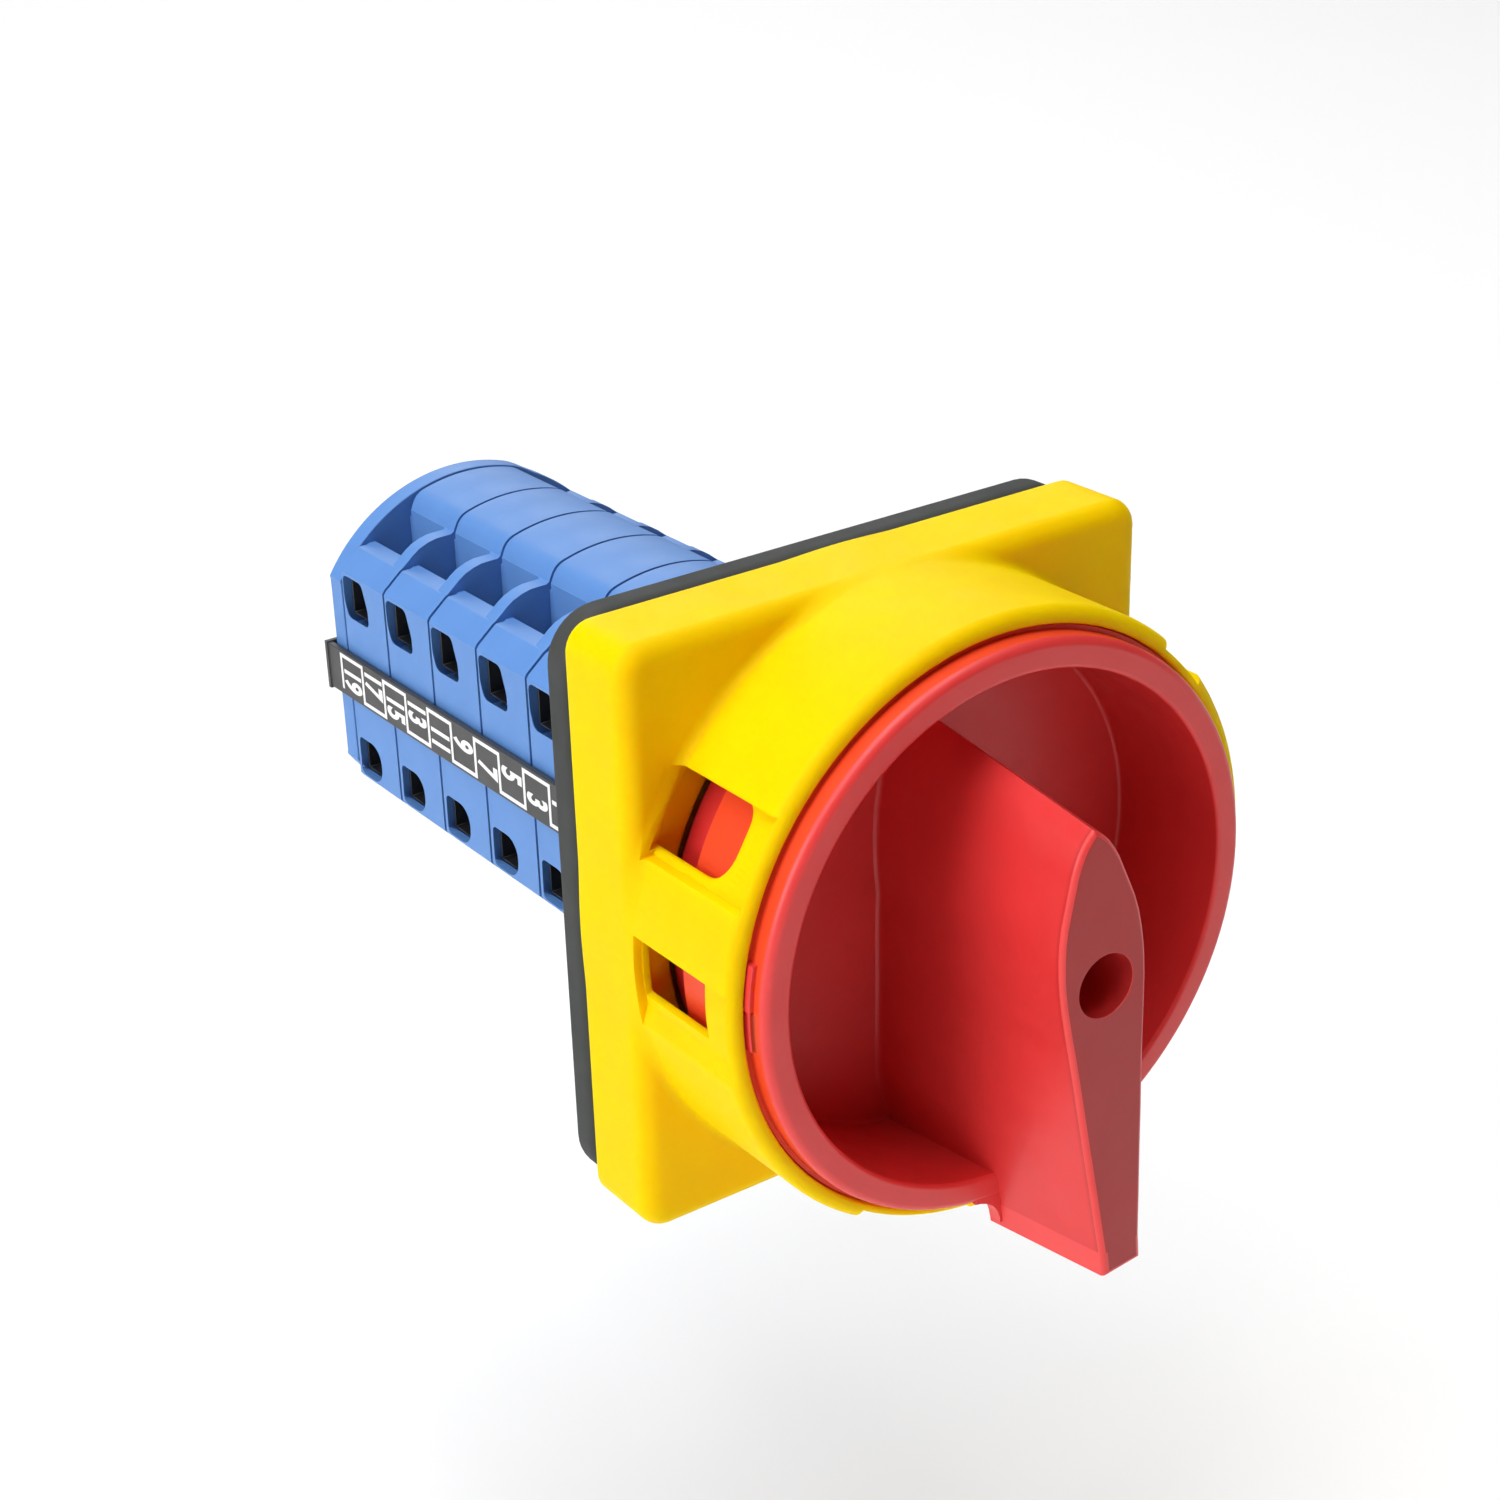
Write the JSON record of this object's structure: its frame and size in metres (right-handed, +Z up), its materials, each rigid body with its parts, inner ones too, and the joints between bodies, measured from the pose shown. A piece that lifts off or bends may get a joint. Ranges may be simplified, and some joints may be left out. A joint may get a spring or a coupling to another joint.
{
  "type": "changeover cam switch",
  "caption": "Panel-mounted rotary changeover cam switch: square front plate with padlock windows, cup knob with grip bar, and stacked contact stages behind.",
  "frame": {"origin": "on the switch axis, in the panel face that the seal frame lies on", "axes": "+Y along the switch axis from the knob to the rear cover, +Z up, +X to the right seen from the front"},
  "size_m": [0.0644, 0.1197, 0.0659],
  "materials": {
    "yellow_plastic": "satin moulded plastic",
    "red_plastic": "finely textured moulded plastic",
    "blue_plastic": "finely textured moulded plastic",
    "seal_rubber": "matt",
    "label_black": "satin strip with white terminal numbers",
    "steel": "zinc plated",
    "brass": "bare",
    "cam_plastic": "natural moulded plastic"
  },
  "bodies": {
    "base": {"front_plate": "yellow_plastic", "panel_seal": "seal_rubber", "mechanism_housing": "blue_plastic", "stage_housing_1": "blue_plastic", "stage_housing_2": "blue_plastic", "stage_housing_3": "blue_plastic", "stage_housing_4": "blue_plastic", "stage_housing_5": "blue_plastic", "rear_cover": "blue_plastic", "tie_bolt_1": "steel", "tie_bolt_2": "steel", "plate_screw_1": "steel", "plate_screw_2": "steel", "number_strip_left": "label_black", "number_strip_right": "label_black", "terminal_1": "brass", "terminal_2": "brass", "terminal_3": "brass", "terminal_4": "brass", "terminal_5": "brass", "terminal_6": "brass", "terminal_7": "brass", "terminal_8": "brass", "terminal_9": "brass", "terminal_10": "brass", "terminal_11": "brass", "terminal_12": "brass", "terminal_13": "brass", "terminal_14": "brass", "terminal_15": "brass", "terminal_16": "brass", "terminal_17": "brass", "terminal_18": "brass", "terminal_19": "brass", "terminal_20": "brass", "detent_spring_left": "steel", "detent_spring_right": "steel"},
    "rotor": {"knob": "red_plastic", "knob_screw": "steel", "shaft": "steel", "star_wheel": "cam_plastic", "cam_1": "cam_plastic", "cam_2": "cam_plastic", "cam_3": "cam_plastic", "cam_4": "cam_plastic", "cam_5": "cam_plastic"},
    "bridge_top_1_body": {"bridge_top_1": "brass"},
    "bridge_top_2_body": {"bridge_top_2": "brass"},
    "bridge_top_3_body": {"bridge_top_3": "brass"},
    "bridge_top_4_body": {"bridge_top_4": "brass"},
    "bridge_top_5_body": {"bridge_top_5": "brass"},
    "bridge_low_1_body": {"bridge_low_1": "brass"},
    "bridge_low_2_body": {"bridge_low_2": "brass"},
    "bridge_low_3_body": {"bridge_low_3": "brass"},
    "bridge_low_4_body": {"bridge_low_4": "brass"},
    "bridge_low_5_body": {"bridge_low_5": "brass"},
    "detent_left_body": {"detent_left": "cam_plastic"},
    "detent_right_body": {"detent_right": "cam_plastic"}
  },
  "joints": [
    {"name": "knob_turn", "type": "hinge", "parent": "base", "child": "rotor", "pos_m": [0, 0, 0], "axis": [0, 1, 0], "range_deg": [-54, 66]},
    {"name": "bridge_top_1_lift", "type": "slide", "parent": "base", "child": "bridge_top_1_body", "axis": [0, 0, 1], "range_m": [-0.00072, 0.00088]},
    {"name": "bridge_top_2_lift", "type": "slide", "parent": "base", "child": "bridge_top_2_body", "axis": [0, 0, 1], "range_m": [-0.00072, 0.00088]},
    {"name": "bridge_top_3_lift", "type": "slide", "parent": "base", "child": "bridge_top_3_body", "axis": [0, 0, 1], "range_m": [-0.00072, 0.00088]},
    {"name": "bridge_top_4_lift", "type": "slide", "parent": "base", "child": "bridge_top_4_body", "axis": [0, 0, 1], "range_m": [-0.00072, 0.00088]},
    {"name": "bridge_top_5_lift", "type": "slide", "parent": "base", "child": "bridge_top_5_body", "axis": [0, 0, 1], "range_m": [-0.00072, 0.00088]},
    {"name": "bridge_low_1_lift", "type": "slide", "parent": "base", "child": "bridge_low_1_body", "axis": [0, 0, -1], "range_m": [-0.00088, 0.00072]},
    {"name": "bridge_low_2_lift", "type": "slide", "parent": "base", "child": "bridge_low_2_body", "axis": [0, 0, -1], "range_m": [-0.00088, 0.00072]},
    {"name": "bridge_low_3_lift", "type": "slide", "parent": "base", "child": "bridge_low_3_body", "axis": [0, 0, -1], "range_m": [-0.00088, 0.00072]},
    {"name": "bridge_low_4_lift", "type": "slide", "parent": "base", "child": "bridge_low_4_body", "axis": [0, 0, -1], "range_m": [-0.00088, 0.00072]},
    {"name": "bridge_low_5_lift", "type": "slide", "parent": "base", "child": "bridge_low_5_body", "axis": [0, 0, -1], "range_m": [-0.00088, 0.00072]},
    {"name": "detent_left_slide", "type": "slide", "parent": "base", "child": "detent_left_body", "axis": [-1, 0, 0], "range_m": [0, 0.0006], "stiffness_N_per_m": 200, "springref_m": -0.002, "deforming": ["detent_spring_left"]},
    {"name": "detent_right_slide", "type": "slide", "parent": "base", "child": "detent_right_body", "axis": [1, 0, 0], "range_m": [0, 0.0006], "stiffness_N_per_m": 200, "springref_m": -0.002, "deforming": ["detent_spring_right"]}
  ],
  "couplings": [
    {"joint": "bridge_top_1_lift", "follows": "knob_turn", "m_per_rad": 0.00076394},
    {"joint": "bridge_top_2_lift", "follows": "knob_turn", "m_per_rad": 0.00076394},
    {"joint": "bridge_top_3_lift", "follows": "knob_turn", "m_per_rad": 0.00076394},
    {"joint": "bridge_top_4_lift", "follows": "knob_turn", "m_per_rad": 0.00076394},
    {"joint": "bridge_top_5_lift", "follows": "knob_turn", "m_per_rad": 0.00076394},
    {"joint": "bridge_low_1_lift", "follows": "knob_turn", "m_per_rad": -0.00076394},
    {"joint": "bridge_low_2_lift", "follows": "knob_turn", "m_per_rad": -0.00076394},
    {"joint": "bridge_low_3_lift", "follows": "knob_turn", "m_per_rad": -0.00076394},
    {"joint": "bridge_low_4_lift", "follows": "knob_turn", "m_per_rad": -0.00076394},
    {"joint": "bridge_low_5_lift", "follows": "knob_turn", "m_per_rad": -0.00076394}
  ]
}
